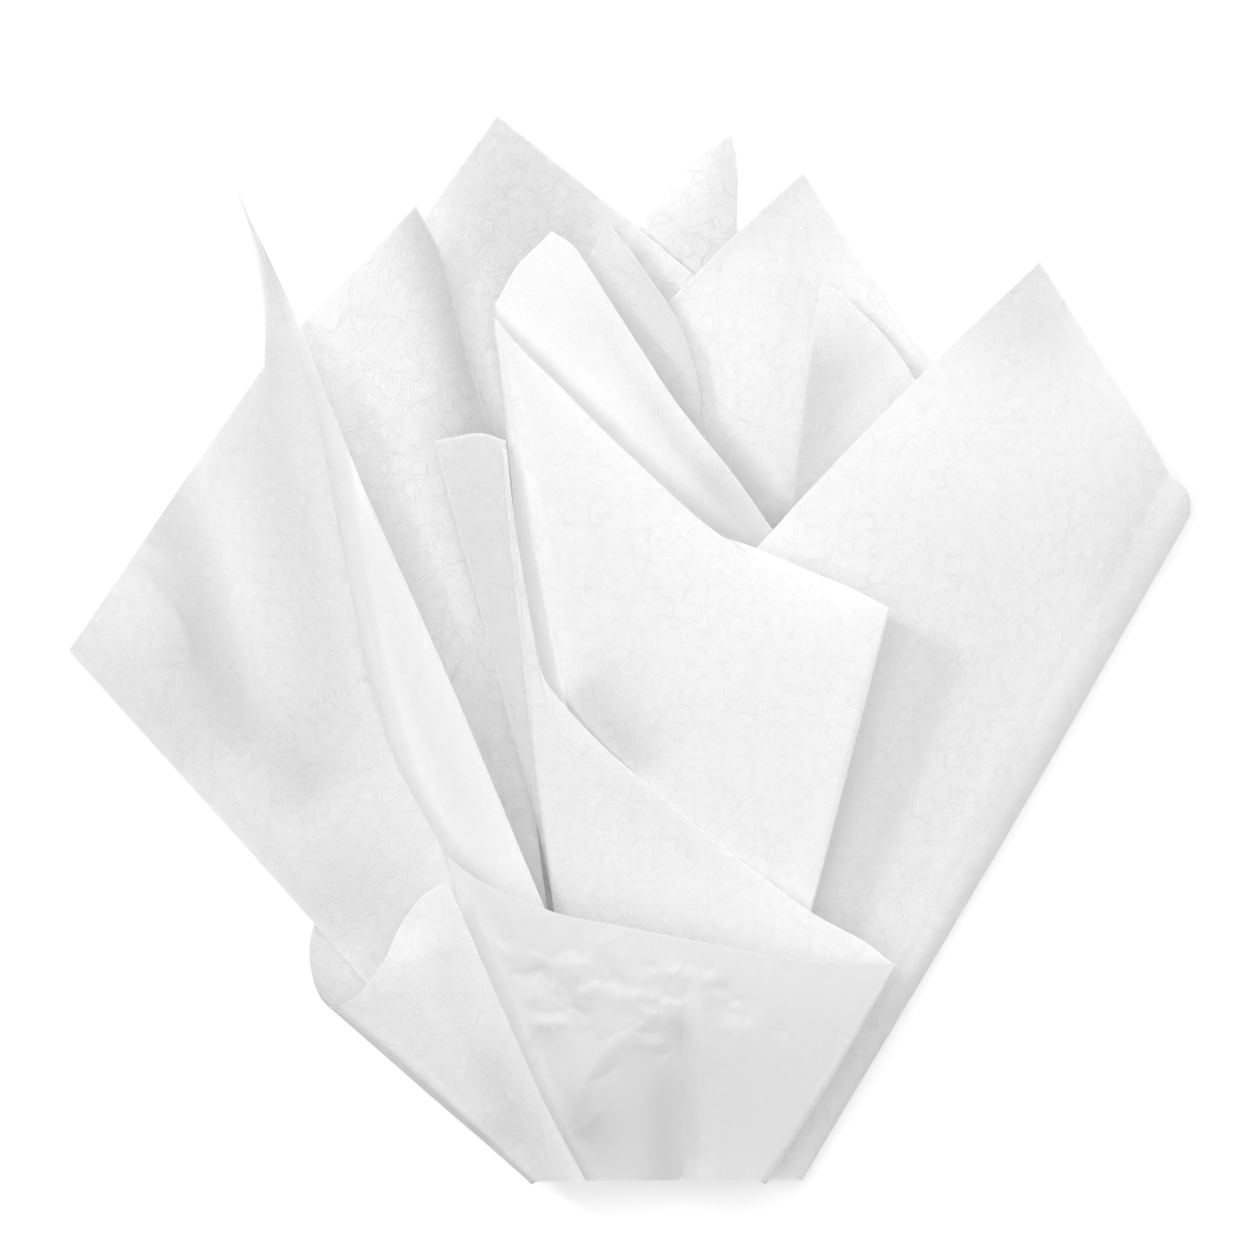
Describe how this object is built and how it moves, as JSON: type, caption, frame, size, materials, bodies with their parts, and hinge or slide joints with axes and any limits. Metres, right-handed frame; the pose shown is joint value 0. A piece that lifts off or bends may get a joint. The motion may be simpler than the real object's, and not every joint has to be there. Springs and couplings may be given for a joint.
{
  "type": "gathered bunch of tissue paper sheets",
  "caption": "Crumpled white tissue paper sheets gathered at a neck and fanned out, lying on its back; packs or decorates a gift.",
  "frame": {"origin": "middle of the bunch's outline, on the surface that the bunch lies on", "axes": "+Z away from that surface, towards the viewer; +Y from the neck's cut end to the fanned corners; +X to the viewer's right"},
  "size_m": [0.3742, 0.3563, 0.0941],
  "materials": {
    "front_paper": "matte",
    "cuff_paper": "matte",
    "back_paper": "matte",
    "centre_paper": "matte",
    "right_paper": "matte",
    "inner_paper": "matte"
  },
  "bodies": {
    "root": {"front_sheet": "front_paper", "cuff_sheet": "cuff_paper", "back_sheet": "back_paper", "centre_sheet": "centre_paper", "right_sheet": "right_paper", "inner_sheet": "inner_paper"}
  },
  "joints": []
}
